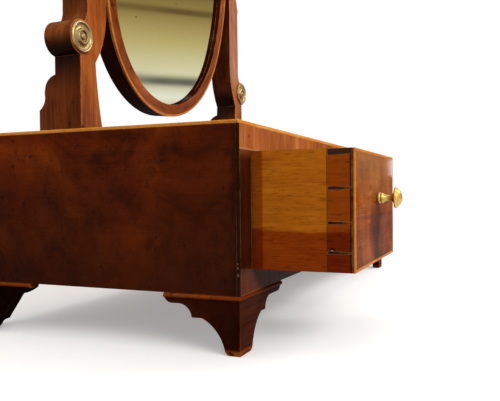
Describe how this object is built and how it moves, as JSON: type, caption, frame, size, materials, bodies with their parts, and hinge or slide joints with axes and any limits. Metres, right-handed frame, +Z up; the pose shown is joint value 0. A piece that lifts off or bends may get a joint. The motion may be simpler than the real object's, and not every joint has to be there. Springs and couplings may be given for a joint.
{
  "type": "dressing table mirror",
  "caption": "Box-base swing toilet mirror: an oval framed glass on two scrolled uprights over a low veneered box with small drawers, brass knobs and bracket feet.",
  "frame": {"origin": "on the table, under the middle of the whole piece with its left drawer standing open as stored", "axes": "-Y is the front with the drawers, +X is right seen from the front, +Z is up"},
  "size_m": [0.459, 0.296, 0.4813],
  "materials": {
    "carcass_mahogany": "polished, mottled red-brown",
    "face_veneer": "polished, flame figure",
    "boxwood": "polished",
    "ebony": "polished",
    "pine": "unpolished, aged",
    "foot_mahogany": "polished, worn",
    "upright_mahogany": "polished",
    "frame_mahogany": "polished",
    "lining_wood": "waxed",
    "brass": "turned, tarnished",
    "screw_steel": "aged",
    "mirror_plate": "silvered plate"
  },
  "bodies": {
    "case": {"side_board_left": "carcass_mahogany", "side_board_right": "carcass_mahogany", "back_board": "pine", "top_board": "pine", "bottom_board": "pine", "drawer_dividers": "carcass_mahogany", "drawer_guides": "carcass_mahogany", "top_rail": "carcass_mahogany", "bottom_rail": "carcass_mahogany", "front_veneer": "face_veneer", "top_veneer": "face_veneer", "top_edge_line": "boxwood", "corner_lines": "ebony", "drawer_stops": "pine", "foot_front_left": "foot_mahogany", "foot_front_right": "foot_mahogany", "foot_back_left": "foot_mahogany", "foot_back_right": "foot_mahogany", "foot_beads": "foot_mahogany", "glue_blocks": "pine", "upright_left": "upright_mahogany", "upright_right": "upright_mahogany", "roundel_plate_left": "brass", "roundel_plate_right": "brass", "upright_screws": "screw_steel", "pivot_collars": "brass"},
    "mirror": {"mirror_frame": "frame_mahogany", "frame_line": "boxwood", "mirror_glass": "mirror_plate", "backboard": "pine", "glazing_blocks": "pine", "backboard_pins": "screw_steel", "pivot_plates": "brass"},
    "left_screw": {"pivot_screw_left": "brass"},
    "right_screw": {"pivot_screw_right": "brass"},
    "left_drawer": {"drawer_front_left": "face_veneer", "drawer_line_left": "boxwood", "drawer_side_a_left": "lining_wood", "drawer_side_b_left": "lining_wood", "drawer_back_left": "lining_wood", "drawer_bottom_left": "lining_wood", "drawer_knob_left": "brass", "drawer_nut_left": "brass"},
    "middle_drawer": {"drawer_front_middle": "face_veneer", "drawer_line_middle": "boxwood", "drawer_side_a_middle": "lining_wood", "drawer_side_b_middle": "lining_wood", "drawer_back_middle": "lining_wood", "drawer_bottom_middle": "lining_wood", "drawer_knob_middle": "brass", "drawer_nut_middle": "brass"},
    "right_drawer": {"drawer_front_right": "face_veneer", "drawer_line_right": "boxwood", "drawer_side_a_right": "lining_wood", "drawer_side_b_right": "lining_wood", "drawer_back_right": "lining_wood", "drawer_bottom_right": "lining_wood", "drawer_knob_right": "brass", "drawer_nut_right": "brass"}
  },
  "joints": [
    {"name": "mirror_tilt", "type": "hinge", "parent": "case", "child": "mirror", "pos_m": [0, 0.11325, 0.33], "axis": [1, 0, 0], "continuous": true},
    {"name": "left_screw_turn", "type": "hinge", "parent": "mirror", "child": "left_screw", "pos_m": [-0.15, 0.11325, 0.33], "axis": [-1, 0, 0], "range_deg": [0, 360]},
    {"name": "right_screw_turn", "type": "hinge", "parent": "mirror", "child": "right_screw", "pos_m": [0.15, 0.11325, 0.33], "axis": [1, 0, 0], "range_deg": [0, 360]},
    {"name": "left_drawer_slide", "type": "slide", "parent": "case", "child": "left_drawer", "axis": [0, -1, 0], "range_m": [-0.0655, 0.0745]},
    {"name": "middle_drawer_slide", "type": "slide", "parent": "case", "child": "middle_drawer", "axis": [0, -1, 0], "range_m": [0, 0.14]},
    {"name": "right_drawer_slide", "type": "slide", "parent": "case", "child": "right_drawer", "axis": [0, -1, 0], "range_m": [0, 0.14]}
  ]
}
